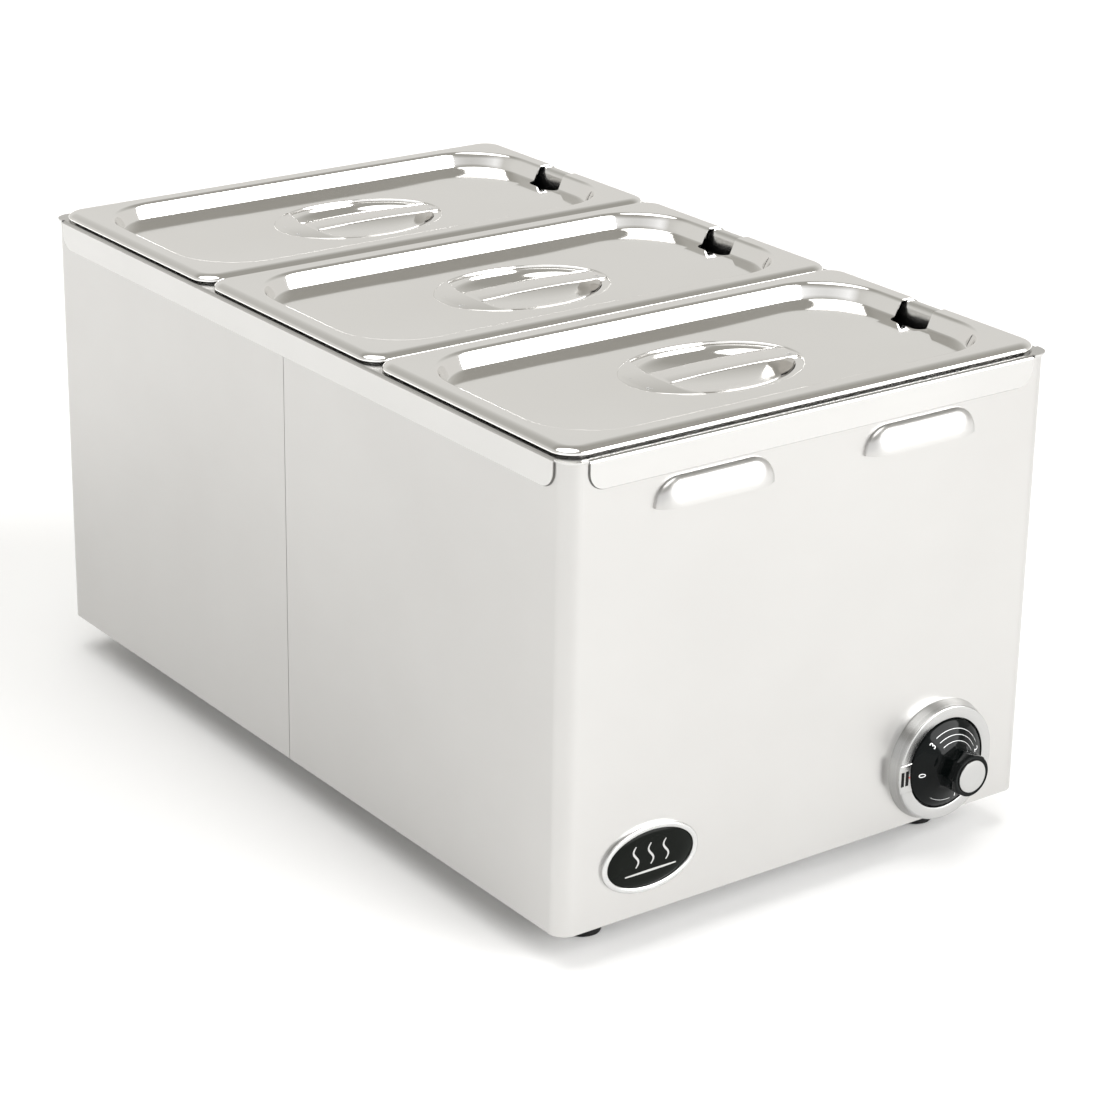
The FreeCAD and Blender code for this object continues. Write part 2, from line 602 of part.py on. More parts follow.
def pressed_profile(form, inset):
    """Half section of a hollow pressed in sheet: a fold at the top, a wall, a rounded floor edge.

    form is (corner radius at the top, top height, depth, slope of the wall, fold and root radii);
    inset 0 is the seen face and inset THIN the underside.
    """
    top_u, top_z, depth, lean, fold, root = form
    fold_r, root_r = fold - inset, root + inset
    straight = (depth - (fold + root) * (1 - math.cos(lean))) / math.sin(lean)
    run = (fold + root) * math.sin(lean) + straight * math.cos(lean)
    fold_c = (top_u, top_z - fold)
    root_c = (top_u - run, top_z - depth + root)

    def on(centre, r, angle):
        return (centre[0] + r * math.cos(angle), centre[1] + r * math.sin(angle))

    def face(origin, outward):
        def at(p):
            return origin + outward * p[0] + Z * p[1]
        up, side = math.radians(90), math.radians(90) + lean
        down = math.radians(270)
        top = on(fold_c, fold_r, up)
        if inset:
            points = [at((0, top[1])), at(top)]
        else:
            points = [at((0, top_z + 5)), at((top_u, top_z + 5)), at(top)]
        points += [("arc", at(on(fold_c, fold_r, (up + side) / 2)), at(on(fold_c, fold_r, side))),
                   at(on(root_c, root_r, down + lean)),
                   ("arc", at(on(root_c, root_r, down + lean / 2)), at(on(root_c, root_r, down))),
                   at((0, top_z - depth - inset))]
        return polygon_face(points)
    return face


def pan(y):
    lean = math.pi / 2 - math.atan(PAN_DRAFT / PAN_DEPTH)
    form = (PAN_MOUTH_R, PAN_TOP, PAN_DEPTH - THIN, lean, PAN_BEND_R, PAN_FOOT_R)
    core = (PAN_MOUTH[0] - PAN_MOUTH_R, PAN_MOUTH[1] - PAN_MOUTH_R)
    body = rimmed_sheet(LID_TOP - PAN_TOP, DECK_TOP + PAN_LIP_UP)
    body = fuse([body, plug(pressed_profile(form, THIN), *core)])
    body = body.cut(plug(pressed_profile(form, 0), *core))
    body.translate(vec(0, y, 0))
    return body


def oval_prism(half_x, half_y, z):
    """Upright prism with an elliptical outline, from z[0] to z[1]."""
    face = Part.Face(Part.Wire(Part.Ellipse(vec(half_x, 0, z[0]), vec(0, half_y, z[0]),
                                            vec(0, 0, z[0])).toShape()))
    return face.extrude(Z * (z[1] - z[0]))


def half_ellipsoid(grow):
    """Lower half of the finger dish's ellipsoid; grow 0 is the seen face."""
    a, b, depth = DISH
    ball = Part.makeSphere(b + grow).common(box((-2 * b, 2 * b), (-2 * b, 2 * b), (-2 * b, 1)))
    stretch = FreeCAD.Matrix()
    stretch.scale((a + grow) / (b + grow), 1, (depth + grow) / (b + grow))
    ball = ball.transformGeometry(stretch)
    ball.translate(vec(0, 0, RECESS_FLOOR))
    return ball


def lid(y):
    form = (WELL_R, LID_TOP, WELL_DEPTH, WELL_LEAN, WELL_FOLD_R, WELL_ROOT_R)
    core = (WELL_TOP[0] - WELL_R, WELL_TOP[1] - WELL_R)
    shell = rimmed_sheet(0, DECK_TOP + LID_LIP_UP)
    shell = shell.fuse(plug(pressed_profile(form, THIN), *core))
    oval = (RECESS[0] + THIN, RECESS[1] + THIN)
    shell = shell.fuse(oval_prism(*oval, (RECESS_FLOOR - THIN, LID_TOP - WELL_DEPTH - THIN / 2)))
    shell = shell.fuse(half_ellipsoid(THIN))
    shell = shell.cut(plug(pressed_profile(form, 0), *core))
    shell = shell.cut(oval_prism(*RECESS[:2], (RECESS_FLOOR, LID_TOP)))
    shell = shell.cut(half_ellipsoid(0))
    notch = box((RIM_X / 2 - NOTCH_L, RIM_X / 2 + 5), (-NOTCH_W / 2, NOTCH_W / 2),
                (LID_TOP - 30, LID_TOP + 5))
    notch = notch.makeFillet(NOTCH_R, [e for e in notch.Edges
                                   if abs(e.tangentAt(e.FirstParameter).z) > 0.99
                                   and e.CenterOfMass.x < RIM_X / 2])
    shell = shell.cut(notch)
    shell.translate(vec(0, y, 0))
    return shell


def lid_handle(y):
    """Slightly bowed strap across the finger dish, welded down in the recess at both ends.

    Its -X end fans out to the recess outline; its +X end keeps the strap's width.
    """
    a, b = RECESS[0] - 0.3, RECESS[1] - 0.3
    low = RECESS_FLOOR
    strap = polygon_face([
        vec(-a, 0, low), ("arc", vec(0, 0, low + STRAP_RISE), vec(a, 0, low)),
        vec(a, 0, low + STRAP_T),
        ("arc", vec(0, 0, low + STRAP_RISE + STRAP_T), vec(-a, 0, low + STRAP_T)),
    ]).extrude(Y * (2 * b))
    strap.translate(vec(0, -b, 0))
    half = STRAP_W / 2
    outline = [vec(STRAP_FAN, -half, 0), vec(a, -half, 0), vec(a, half, 0),
               vec(STRAP_FAN, half, 0), vec(STRAP_FAN + 6, b, 0), vec(-a, b, 0),
               vec(-a, -b, 0), vec(STRAP_FAN + 6, -b, 0)]
    strap = strap.common(polygon_face(outline).extrude(Z * LID_TOP))
    strap = strap.common(oval_prism(a, b, (low - 5, low + 5)))
    strap.translate(vec(0, y, 0))
    return strap


# ---- write every sub-part ----
def all_parts():
    parts = {
        "front_case": front_case(),
        "rear_case": rear_case(),
        "left_seam_strip": seam_strip(-1),
        "right_seam_strip": seam_strip(1),
        "top_deck": top_deck(),
        "inner_liner": inner_liner(),
        "base_plate": base_plate(),
        "base_screws": base_screws(),
        "insulation_sides": insulation_sides(),
        "insulation_floor": insulation_floor(),
        "heating_element": heating_element(),
        "element_rails": element_rails(),
        "element_glands": element_glands(),
        "thermostat_bracket": thermostat_bracket(),
        "thermostat_body": thermostat_body(),
        "thermostat_screws": thermostat_screws(),
        "thermostat_bulb": thermostat_bulb(),
        "thermostat_capillary": thermostat_capillary(),
        "thermostat_shaft": thermostat_shaft(),
        "overheat_cut_out": cut_out(),
        "terminal_block": terminal_block(),
        "earth_stud": earth_stud(),
        "internal_wiring": internal_wiring(),
        "control_bezel": control_bezel(),
        "control_knob": control_knob(),
        "knob_cap": knob_cap(),
        "badge_rim": badge_rim(),
        "badge_plate": badge_plate(),
        "foot_screws": foot_screws(),
        "cable_gland": cable_gland(),
        "gland_nut": gland_nut(),
    }
    for name, sx, sy in (("front_left", -1, -1), ("front_right", 1, -1),
                         ("rear_left", -1, 1), ("rear_right", 1, 1)):
        parts["foot_" + name] = foot(sx, sy)
    for name, y in PAN_YS.items():
        parts["pan_" + name] = pan(y)
        parts["lid_" + name] = lid(y)
        parts["lid_handle_" + name] = lid_handle(y)
    return parts


for node, shape in all_parts().items():
    if not shape.isValid():
        print("INVALID", node)
    print(node, len(shape.Solids), "solids", round(shape.Volume / 1000, 2), "cm3",
          [round(v, 1) for v in (shape.BoundBox.XMin, shape.BoundBox.XMax, shape.BoundBox.YMin,
                                 shape.BoundBox.YMax, shape.BoundBox.ZMin, shape.BoundBox.ZMax)])
    shape.exportStep("parts/" + node + ".step")
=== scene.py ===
import bmesh
import bpy
import json
import math
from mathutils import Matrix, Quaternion, Vector


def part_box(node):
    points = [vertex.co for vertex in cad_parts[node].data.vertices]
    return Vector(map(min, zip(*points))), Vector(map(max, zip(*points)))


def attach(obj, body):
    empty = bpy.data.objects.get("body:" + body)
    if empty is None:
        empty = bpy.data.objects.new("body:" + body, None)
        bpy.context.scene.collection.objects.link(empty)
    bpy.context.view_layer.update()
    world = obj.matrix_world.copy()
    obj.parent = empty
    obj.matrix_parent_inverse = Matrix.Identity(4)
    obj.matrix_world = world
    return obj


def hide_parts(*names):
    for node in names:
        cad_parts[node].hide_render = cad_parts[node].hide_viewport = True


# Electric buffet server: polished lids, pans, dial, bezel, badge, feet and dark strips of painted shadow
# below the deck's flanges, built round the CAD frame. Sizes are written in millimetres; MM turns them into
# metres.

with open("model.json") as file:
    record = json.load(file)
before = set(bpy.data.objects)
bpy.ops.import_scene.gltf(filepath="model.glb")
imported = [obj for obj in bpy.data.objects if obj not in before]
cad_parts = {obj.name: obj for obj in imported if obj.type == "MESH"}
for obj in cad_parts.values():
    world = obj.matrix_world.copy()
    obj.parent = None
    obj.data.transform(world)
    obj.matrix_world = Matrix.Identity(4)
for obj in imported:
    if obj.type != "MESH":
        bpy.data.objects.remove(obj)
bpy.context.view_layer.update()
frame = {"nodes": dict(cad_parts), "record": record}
MM = 0.001
PANS = ("front", "middle", "rear")


# ---- materials ----
def new_material(name, colour, metallic, roughness):
    mat = bpy.data.materials.new(name)
    mat.use_nodes = True
    bsdf = mat.node_tree.nodes["Principled BSDF"]
    bsdf.inputs["Base Color"].default_value = (*colour, 1)
    bsdf.inputs["Metallic"].default_value = metallic
    bsdf.inputs["Roughness"].default_value = roughness
    return mat, mat.node_tree.nodes, mat.node_tree.links, bsdf


def noise(nodes, links, scale, stretch=(1, 1, 1), detail=4.0, rough=0.6):
    """Noise in object space; scale is in features per metre, stretch slows it along an axis."""
    place = nodes.new("ShaderNodeTexCoord")
    mapping = nodes.new("ShaderNodeMapping")
    mapping.inputs["Scale"].default_value = [scale * s for s in stretch]
    texture = nodes.new("ShaderNodeTexNoise")
    texture.inputs["Scale"].default_value = 1.0
    texture.inputs["Detail"].default_value = detail
    texture.inputs["Roughness"].default_value = rough
    links.new(place.outputs["Object"], mapping.inputs["Vector"])
    links.new(mapping.outputs["Vector"], texture.inputs["Vector"])
    return texture.outputs["Fac"]


def spread(nodes, links, source, low, high):
    """Maps a noise from its usual span to low..high."""
    span = nodes.new("ShaderNodeMapRange")
    span.inputs["From Min"].default_value = 0.3
    span.inputs["From Max"].default_value = 0.7
    span.inputs["To Min"].default_value = low
    span.inputs["To Max"].default_value = high
    links.new(source, span.inputs["Value"])
    return span.outputs["Result"]


def tint(nodes, links, bsdf, source, dark, light):
    mix = nodes.new("ShaderNodeMix")
    mix.data_type = "RGBA"
    mix.inputs["A"].default_value = (*dark, 1)
    mix.inputs["B"].default_value = (*light, 1)
    links.new(spread(nodes, links, source, 0, 1), mix.inputs["Factor"])
    links.new(mix.outputs["Result"], bsdf.inputs["Base Color"])


def bump(nodes, links, bsdf, source, strength, depth):
    node = nodes.new("ShaderNodeBump")
    node.inputs["Strength"].default_value = strength
    node.inputs["Distance"].default_value = depth
    links.new(source, node.inputs["Height"])
    if bsdf.inputs["Normal"].links:
        links.new(bsdf.inputs["Normal"].links[0].from_socket, node.inputs["Normal"])
    links.new(node.outputs["Normal"], bsdf.inputs["Normal"])


def sheet_metal(name, dark, light, roughness, grain, cloud=6.0, grain_bump=0.04):
    """Rolled stainless: fine grain along one axis, slow changes of gloss and of tone."""
    mat, nodes, links, bsdf = new_material(name, light, 1.0, roughness)
    lines = noise(nodes, links, 900, grain, detail=5)
    clouds = noise(nodes, links, cloud, detail=3)
    tint(nodes, links, bsdf, clouds, dark, light)
    low, high = roughness * 0.94, roughness * 1.06
    links.new(spread(nodes, links, lines, low, high), bsdf.inputs["Roughness"])
    bump(nodes, links, bsdf, lines, grain_bump, 0.02 * MM)
    bump(nodes, links, bsdf, noise(nodes, links, cloud * 1.6, detail=1), 0.25, 0.4 * MM)
    return mat


def moulded(name, colour, roughness, grain=900, depth=0.03, metallic=0.0, coat=0.0, shine=0.5):
    """Plastic, rubber or cast metal: fine moulded grain, slightly uneven gloss."""
    mat, nodes, links, bsdf = new_material(name, colour, metallic, roughness)
    fine = noise(nodes, links, grain, detail=3)
    slow = noise(nodes, links, 40, detail=3)
    tint(nodes, links, bsdf, slow, [c * 0.9 for c in colour], [min(1, c * 1.1) for c in colour])
    links.new(spread(nodes, links, slow, roughness * 0.8, roughness * 1.2), bsdf.inputs["Roughness"])
    bump(nodes, links, bsdf, fine, 0.25, depth * MM)
    bsdf.inputs["Coat Weight"].default_value = coat
    bsdf.inputs["Specular IOR Level"].default_value = shine
    return mat


def fibre(name, colour):
    mat, nodes, links, bsdf = new_material(name, colour, 0.0, 0.95)
    strands = noise(nodes, links, 260, (1, 0.25, 1), detail=6)
    tint(nodes, links, bsdf, strands, [c * 0.75 for c in colour], colour)
    bump(nodes, links, bsdf, strands, 0.6, 1.2 * MM)
    return mat


def turned_metal(name, colour, roughness, axis_at):
    """Lathe-turned face: fine rings about an axis along Y through axis_at."""
    mat, nodes, links, bsdf = new_material(name, colour, 1.0, roughness)
    place = nodes.new("ShaderNodeTexCoord")
    mapping = nodes.new("ShaderNodeMapping")
    mapping.inputs["Location"].default_value = [-v for v in axis_at]
    flat = nodes.new("ShaderNodeVectorMath")
    flat.operation = "MULTIPLY"
    flat.inputs[1].default_value = (1, 0, 1)
    length = nodes.new("ShaderNodeVectorMath")
    length.operation = "LENGTH"
    rings = nodes.new("ShaderNodeTexNoise")
    rings.noise_dimensions = "1D"
    rings.inputs["Scale"].default_value = 2600
    rings.inputs["Detail"].default_value = 3
    links.new(place.outputs["Object"], mapping.inputs["Vector"])
    links.new(mapping.outputs["Vector"], flat.inputs[0])
    links.new(flat.outputs["Vector"], length.inputs[0])
    links.new(length.outputs["Value"], rings.inputs["W"])
    tint(nodes, links, bsdf, rings.outputs["Fac"], [c * 0.9 for c in colour], colour)
    bump(nodes, links, bsdf, rings.outputs["Fac"], 0.3, 0.03 * MM)
    return mat


KNOB = Vector((99.0, -268.5, 59.0)) * MM        # control axis where it meets the case front
BADGE = Vector((-106.2, -268.5, 56.0)) * MM

STEEL_DARK, STEEL = (0.545, 0.538, 0.527), (0.572, 0.566, 0.555)
ACROSS, ALONG = (0.02, 0.02, 1), (0.02, 1, 1)

materials = {
    "satin_steel": sheet_metal("satin_steel", STEEL_DARK, STEEL, 0.30, ACROSS),
    "deck_steel": sheet_metal("deck_steel", (0.60, 0.595, 0.585), (0.64, 0.635, 0.625), 0.24,
                              (0.03, 1, 1)),
    "inner_steel": sheet_metal("inner_steel", (0.55, 0.54, 0.52), (0.66, 0.66, 0.65), 0.38, ACROSS),
    "lid_steel": sheet_metal("lid_steel", (0.86, 0.85, 0.835), (0.90, 0.895, 0.885), 0.075, ALONG,
                             cloud=5.0, grain_bump=0.03),
    "pan_steel": sheet_metal("pan_steel", (0.76, 0.755, 0.74), (0.84, 0.835, 0.82), 0.20, ACROSS),
    "zinc_screw": moulded("zinc_screw", (0.68, 0.69, 0.70), 0.32, metallic=1.0),
    "rubber_foot": moulded("rubber_foot", (0.008, 0.008, 0.008), 0.72, grain=1500, depth=0.06, shine=0.2),
    "bezel_metal": turned_metal("bezel_metal", (0.52, 0.52, 0.515), 0.26, KNOB),
    "black_dial": moulded("black_dial", (0.002, 0.003, 0.003), 0.10, grain=500, depth=0.004, coat=0.08,
                          shine=0.08),
    "black_badge": moulded("black_badge", (0.003, 0.004, 0.003), 0.16, grain=500, depth=0.004, coat=0.04,
                           shine=0.06),
    "mineral_wool": fibre("mineral_wool", (0.78, 0.72, 0.55)),
    "element_tube": moulded("element_tube", (0.30, 0.27, 0.25), 0.45, metallic=1.0),
    "brass_gland": moulded("brass_gland", (0.78, 0.58, 0.26), 0.30, metallic=1.0),
    "copper_tube": moulded("copper_tube", (0.80, 0.42, 0.28), 0.28, metallic=1.0),
    "phenolic": moulded("phenolic", (0.10, 0.055, 0.035), 0.42),
    "nylon_white": moulded("nylon_white", (0.82, 0.82, 0.78), 0.45),
    "nylon_black": moulded("nylon_black", (0.025, 0.025, 0.025), 0.48, depth=0.05),
    "wire_sleeve": fibre("wire_sleeve", (0.80, 0.77, 0.70)),
}
paint_white = moulded("dial_white", (0.85, 0.86, 0.86), 0.35)
paint_black = moulded("index_black", (0.004, 0.004, 0.004), 0.30, shine=0.08)
paint_red = moulded("index_red", (0.42, 0.03, 0.03), 0.35)
badge_silver = moulded("badge_silver", (0.60, 0.60, 0.595), 0.25, metallic=1.0)
# painted shadow: dark grey for the strips that stand for the shadow line below the deck's flanges
painted_shadow_grey = moulded("painted_shadow_grey", (0.15, 0.148, 0.14), 0.6)


def paint_cad_nodes():
    for part in frame["record"]["subparts"]:
        mesh = frame["nodes"][part["node"]].data
        mesh.materials.clear()
        mesh.materials.append(materials[part["material_slot"]])


# ---- mesh tools ----
def mesh_of(name, verts, faces, angle=30.0):
    mesh = bpy.data.meshes.new(name)
    mesh.from_pydata([Vector(v) * MM for v in verts], [], faces)
    mesh.update()
    smooth(mesh, angle)
    return mesh


def smooth(mesh, angle=30.0):
    mesh.shade_smooth()
    mesh.set_sharp_from_angle(angle=math.radians(angle))


def add(name, mesh, material, body, replaces=(), at=(0, 0, 0)):
    """Puts a finished mesh in the scene, riding on its CAD body."""
    obj = bpy.data.objects.new(name, mesh)
    obj.location = at
    bpy.context.scene.collection.objects.link(obj)
    if not mesh.materials:
        mesh.materials.append(material)
    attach(obj, body)
    if replaces:
        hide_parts(*replaces)
    return obj


def baked(name, mesh, *modifiers, angle=30.0):
    """A new mesh: the old one with modifiers applied, each given as (type, settings)."""
    work = bpy.data.objects.new(name, mesh)
    bpy.context.scene.collection.objects.link(work)
    for kind, settings in modifiers:
        modifier = work.modifiers.new(kind, kind)
        for key, value in settings.items():
            setattr(modifier, key, value)
    graph = bpy.context.evaluated_depsgraph_get()
    result = bpy.data.meshes.new_from_object(work.evaluated_get(graph), depsgraph=graph)
    result.name = name
    bpy.data.objects.remove(work)
    smooth(result, angle)
    return result


def loft(rings, first_cap=False, last_cap=False):
    """Vertices and quads joining closed rings that all have the same number of points."""
    count = len(rings[0])
    verts = [p for ring in rings for p in ring]
    faces = []
    for k in range(len(rings) - 1):
        low, high = k * count, (k + 1) * count
        faces += [(low + i, low + (i + 1) % count, high + (i + 1) % count, high + i)
                  for i in range(count)]
    if first_cap:
        faces.append(tuple(reversed(range(count))))
    if last_cap:
        faces.append(tuple(range((len(rings) - 1) * count, len(rings) * count)))
    return verts, faces


def arc(centre, radius, start, end, steps):
    """Points (a, b) of a circular arc, angles in degrees."""
    turn = [math.radians(start + (end - start) * k / steps) for k in range(steps + 1)]
    return [(centre[0] + radius * math.cos(t), centre[1] + radius * math.sin(t)) for t in turn]


def facing_front(x, z, out, centre):
    """Point on a control: x and z about its axis, out towards the user, all in mm."""
    return (centre.x / MM + x, centre.y / MM - out, centre.z / MM + z)


def turned(profile, centre, count=128, outline=None, stretch=(1, 1)):
    """Rings about an axis along Y from (radius, out) points.

    outline(angle, radius, out) may reshape a ring; stretch makes the ring an ellipse.
    """
    rings = []
    for radius, out in profile:
        ring = []
        for k in range(count):
            t = math.tau * k / count
            r = outline(t, radius, out) if outline else radius
            ring.append(facing_front(r * math.cos(t) * stretch[0], r * math.sin(t) * stretch[1],
                                     out, centre))
        rings.append(ring)
    return rings


# ---- lids ----
LID_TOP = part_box("lid_middle")[1].z / MM
LID_LOW = LID_TOP - 3.6
RIM = (162.5, 88.0, 14.0)
WELL = (151.0, 75.5, 42.0)
WELL_DEPTH, FOLD_R, ROOT_R, WALL_LEAN = 9.5, 3.0, 1.5, 65
SHOULDER_R, LIP_R, EDGE_TURN = 9.5, 2.3, 34
RECESS, RECESS_DEPTH = (57.0, 41.0), 1.2
DISH, DISH_DEPTH = (50.5, 35.5), 9.4
SHEET = 0.8
PAN_TOP, PAN_RIM, PAN_MOUTH = LID_TOP - 1.1, (158.6, 84.1, 10.1), (155.0, 80.2, 41.2)
PAN_LIP, PAN_LIP_R = 3.2, 1.2
PAN_DEPTH, PAN_BEND_R, PAN_FOOT_R, PAN_LEAN = 149.2, 4.0, 11.0, 87.7
NOTCH_HALF, NOTCH_INNER, NOTCH_OUTER, NOTCH_R = 13.5, 138.5, 170.0, 6.0
CORNER_STEPS, LONG_STEPS, SHORT_STEPS = 14, 30, 14


def box_ring(half_x, half_y, radius, z):
    """Rounded rectangle, anticlockwise from above, the same number of points for any size."""
    points = []
    corners = [(1, 1, 0), (-1, 1, 90), (-1, -1, 180), (1, -1, 270)]
    for k, (sx, sy, start) in enumerate(corners):
        centre = (sx * (half_x - radius), sy * (half_y - radius))
        bend = arc(centre, radius, start, start + 90, CORNER_STEPS)
        nx, ny, _ = corners[(k + 1) % 4]
        follow = (nx * (half_x - radius), ny * (half_y - radius))
        landing = arc(follow, radius, start + 90, start + 90, 1)[0]
        steps = LONG_STEPS if k % 2 == 0 else SHORT_STEPS
        run = [(bend[-1][0] + (landing[0] - bend[-1][0]) * j / steps,
                bend[-1][1] + (landing[1] - bend[-1][1]) * j / steps) for j in range(1, steps)]
        points += bend + run
    return [(x, y, z) for x, y in points]


def oval_ring(half_x, half_y, z, like):
    """Ellipse with one point for each point of the ring it is joined to."""
    wide, deep = max(p[0] for p in like), max(p[1] for p in like)
    turns = [math.atan2(p[1] / deep, p[0] / wide) for p in like]
    return [(half_x * math.cos(t), half_y * math.sin(t), z) for t in turns]


def edge_profile():
    """(out, drop) points up the lid's edge: a tight lip, then a broad shoulder."""
    turn = math.radians(EDGE_TURN)
    run = SHOULDER_R * math.sin(turn) + LIP_R * (1 - math.sin(turn))
    lip_drop = SHOULDER_R - (SHOULDER_R - LIP_R) * math.cos(turn)
    lip = arc((-LIP_R, -lip_drop), LIP_R, 0, 90 - EDGE_TURN, 5)
    return lip + arc((-run, -SHOULDER_R), SHOULDER_R, 90 - EDGE_TURN, 90, 7)[1:]


def pressed_profile(depth, fold_r, root_r, slope):
    """(inset, drop) points down a pressed hollow: fold, sloping wall, root."""
    lean = math.radians(slope)
    straight = (depth - (fold_r + root_r) * (1 - math.cos(lean))) / math.sin(lean)
    run = (fold_r + root_r) * math.sin(lean) + straight * math.cos(lean)
    fold = arc((0, -fold_r), fold_r, 90, 90 - slope, 6)
    root = arc((run, -depth + root_r), root_r, 270 - slope, 270, 7)
    middle = [((fold[-1][0] * (4 - k) + root[0][0] * k) / 4,
               (fold[-1][1] * (4 - k) + root[0][1] * k) / 4) for k in range(1, 4)]
    return fold + middle + root


def lid_mesh():
    rings = [box_ring(*RIM, LID_LOW)]
    for out, drop in edge_profile():
        rings.append(box_ring(RIM[0] + out, RIM[1] + out, RIM[2] + out, LID_TOP + drop))
    for inset, drop in pressed_profile(WELL_DEPTH, FOLD_R, ROOT_R, WALL_LEAN):
        rings.append(box_ring(WELL[0] - inset, WELL[1] - inset, WELL[2] - inset, LID_TOP + drop))
    floor = rings[-1]
    for grow in (36, 12, 3):
        rings.append(oval_ring(RECESS[0] + grow * 0.9, RECESS[1] + grow * 0.5, floor[0][2], floor))
    for inset, drop in arc((0, -0.6), 0.6, 90, 20, 3) + [(0.7, -RECESS_DEPTH)]:
        rings.append(oval_ring(RECESS[0] - inset, RECESS[1] - inset, floor[0][2] + drop, floor))
    ledge = floor[0][2] - RECESS_DEPTH
    for k in range(3):
        rings.append(oval_ring(DISH[0] + 1.6 - 0.4 * k, DISH[1] + 1.6 - 0.4 * k, ledge, floor))
    for k in range(1, 25):
        slope = math.radians(90.0 * k / 25)
        ease = 1 - 0.012 * math.sin(2 * slope)
        rings.append(oval_ring(DISH[0] * math.cos(slope) * ease + 0.6 * (1 - k / 25),
                               DISH[1] * math.cos(slope) * ease + 0.6 * (1 - k / 25),
                               ledge - DISH_DEPTH * math.sin(slope), floor))
    verts, faces = loft(rings)
    verts.append((0, 0, ledge - DISH_DEPTH))
    last, count = (len(rings) - 1) * len(floor), len(floor)
    faces += [(last + i, last + (i + 1) % count, len(verts) - 1) for i in range(count)]
    return mesh_of("lid_sheet", verts, faces)


def notch_cutter():
    """Upright prism with rounded inner corners for the ladle notch."""
    half, inner, outer, r = NOTCH_HALF, NOTCH_INNER, NOTCH_OUTER, NOTCH_R
    outline = [(outer, -half), (outer, half)]
    outline += arc((inner + r, half - r), r, 90, 180, 8)
    outline += arc((inner + r, -half + r), r, 180, 270, 8)
    rings = [[(x, y, z) for x, y in outline] for z in (LID_TOP - 30, LID_TOP + 10)]
    mesh = mesh_of("notch_cutter", *loft(rings, True, True))
    cutter = bpy.data.objects.new("notch_cutter", mesh)
    bpy.context.scene.collection.objects.link(cutter)
    return cutter


def strap_mesh():
    """Handle strap: an outline with a fanned -X end, cut across so that it can bow."""
    half, fan, reach, neck = 9.0, -37.0, 55.6, 2.5
    wide, deep = RECESS[0] - 0.5, RECESS[1] - 0.5
    outline = arc((reach - neck, -half + neck), neck, 270, 360, 5)
    outline += arc((reach - neck, half - neck), neck, 0, 90, 5)
    start = math.acos((fan + 6) / wide)
    outline += arc((fan + 3.0, half + 3.0), 3.0, 270, 200, 5)
    sweep = [start + (math.tau - 2 * start) * k / 40 for k in range(41)]
    outline += [(wide * math.cos(t), deep * math.sin(t)) for t in sweep]
    outline += arc((fan + 3.0, -half - 3.0), 3.0, 160, 90, 5)
    work = bmesh.new()
    face = work.faces.new([work.verts.new((x, y, 0)) for x, y in outline])
    up = bmesh.ops.extrude_face_region(work, geom=[face])
    tops = [v for v in up["geom"] if isinstance(v, bmesh.types.BMVert)]
    bmesh.ops.translate(work, vec=(0, 0, 1.0), verts=tops)
    bmesh.ops.recalc_face_normals(work, faces=work.faces)
    rims = [e for e in work.edges if abs(e.verts[0].co.z - e.verts[1].co.z) < 0.01]
    bmesh.ops.bevel(work, geom=rims, offset=0.32, segments=3, profile=0.5, affect="EDGES")
    for k in range(-27, 28):
        cut = list(work.verts) + list(work.edges) + list(work.faces)
        bmesh.ops.bisect_plane(work, geom=cut, plane_co=(2.0 * k, 0, 0), plane_no=(1, 0, 0))
    base = LID_TOP - WELL_DEPTH - RECESS_DEPTH
    for v in work.verts:
        v.co.z += base + 1.2 * max(0.0, 1 - (v.co.x / 52) ** 2)
        v.co *= MM
    mesh = bpy.data.meshes.new("strap")
    work.to_mesh(mesh)
    work.free()
    smooth(mesh, 35)
    return mesh


def weld_marks():
    """Spot-weld dimples on the strap's two ends, as thin lens-shaped rings."""
    top = LID_TOP - WELL_DEPTH - RECESS_DEPTH + 1.05
    verts, faces = [], []
    for x, y in ((-47.0, 9.0), (-49.5, -9.5), (48.5, 5.2), (50.0, -5.0)):
        rings = [[(x + r * math.cos(math.tau * k / 24), y + 0.8 * r * math.sin(math.tau * k / 24),
                   top + h) for k in range(24)]
                 for r, h in ((2.2, -0.04), (1.9, 0.10), (1.5, 0.12), (1.1, 0.02), (0.3, -0.02))]
        part_verts, part_faces = loft(rings, False, True)
        faces += [tuple(i + len(verts) for i in f) for f in part_faces]
        verts += part_verts
    return mesh_of("weld_marks", verts, faces, 60)


def build_lids():
    steel = materials["lid_steel"]
    cutter = notch_cutter()
    shell = baked("lid_shell", lid_mesh(),
                  ("SOLIDIFY", {"thickness": SHEET * MM, "offset": -1.0, "use_even_offset": True}),
                  ("BOOLEAN", {"operation": "DIFFERENCE", "solver": "EXACT", "object": cutter}))
    bpy.data.objects.remove(cutter)
    shell.materials.clear()
    strap, welds = strap_mesh(), weld_marks()
    for name in PANS:
        low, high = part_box("lid_" + name)
        at = (0, (low.y + high.y) / 2, 0)
        body = "lid_" + name
        add(f"lid_{name}_shell", shell, steel, body, ["lid_" + name], at)
        add(f"lid_{name}_strap", strap, steel, body, ["lid_handle_" + name], at)
        add(f"lid_{name}_welds", welds, materials["zinc_screw"], body, (), at)


# ---- controls ----
DIAL_R, DIAL_TOP_R, CONE_LOW, CONE_HIGH = 26.3, 13.0, 8.0, 14.0
NUMBERS = {"0": 184.5, "1": 286.0, "2": 373.0, "3": 492.0}


def cone_out(radius):
    """How far the dial's cone stands out at a radius."""
    share = (DIAL_R - radius) / (DIAL_R - DIAL_TOP_R)
    return CONE_LOW + share * (CONE_HIGH - CONE_LOW)


